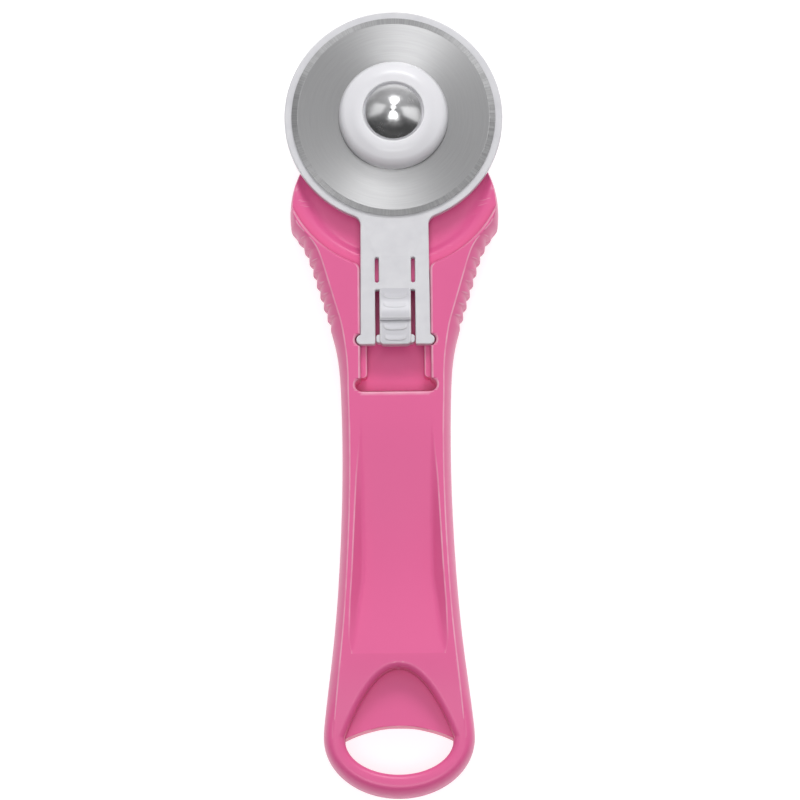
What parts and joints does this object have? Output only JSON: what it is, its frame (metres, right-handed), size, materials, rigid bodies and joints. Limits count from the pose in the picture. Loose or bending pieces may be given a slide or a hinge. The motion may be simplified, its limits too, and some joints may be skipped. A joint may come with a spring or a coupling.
{
  "type": "rotary cutter",
  "caption": "Hand-held rotary cutter with a round steel blade, a sliding disc guard with a thumb latch, a waisted handle and a finger loop.",
  "frame": {"origin": "under the middle of the tool, on the plane of its flat back", "axes": "+Y along the tool towards the blade, +Z out of the front face where the blade is, +X to the right seen from the front"},
  "size_m": [0.0482, 0.1746, 0.0223],
  "materials": {
    "handle_plastic": "smooth moulded gloss",
    "guard_plastic": "smooth moulded satin gloss",
    "collar_plastic": "smooth moulded gloss",
    "nut_plastic": "moulded with finger flutes",
    "blade_steel": "polished with a ground edge",
    "bolt_chrome": "bright plated",
    "screw_steel": "zinc plated",
    "insert_brass": "turned"
  },
  "bodies": {
    "handle": {"handle_front_shell": "handle_plastic", "handle_back_shell": "handle_plastic", "handle_screws": "screw_steel", "blade_collar": "collar_plastic", "axle_bolt": "bolt_chrome", "wave_washer": "screw_steel", "flat_washer": "screw_steel"},
    "guard": {"blade_guard": "guard_plastic", "guard_legs": "guard_plastic"},
    "latch": {"thumb_latch": "guard_plastic"},
    "blade": {"cutting_blade": "blade_steel"},
    "nut": {"thumb_nut": "nut_plastic", "nut_insert": "insert_brass"}
  },
  "joints": [
    {"name": "guard_slide", "type": "slide", "parent": "handle", "child": "guard", "axis": [0, -1, 0], "range_m": [0, 0.01], "deforming": ["guard_legs"]},
    {"name": "latch_press", "type": "hinge", "parent": "guard", "child": "latch", "pos_m": [0, 0.02415, 0.0128], "axis": [1, 0, 0], "range_deg": [0, 5], "stiffness_Nm_per_rad": 0.4},
    {"name": "blade_spin", "type": "hinge", "parent": "handle", "child": "blade", "pos_m": [0, 0.06325, 0.01425], "axis": [0, 0, 1], "continuous": true},
    {"name": "nut_turn", "type": "hinge", "parent": "handle", "child": "nut", "pos_m": [0, 0.06325, 0.0024], "axis": [0, 0, -1], "range_deg": [0, 360]}
  ]
}
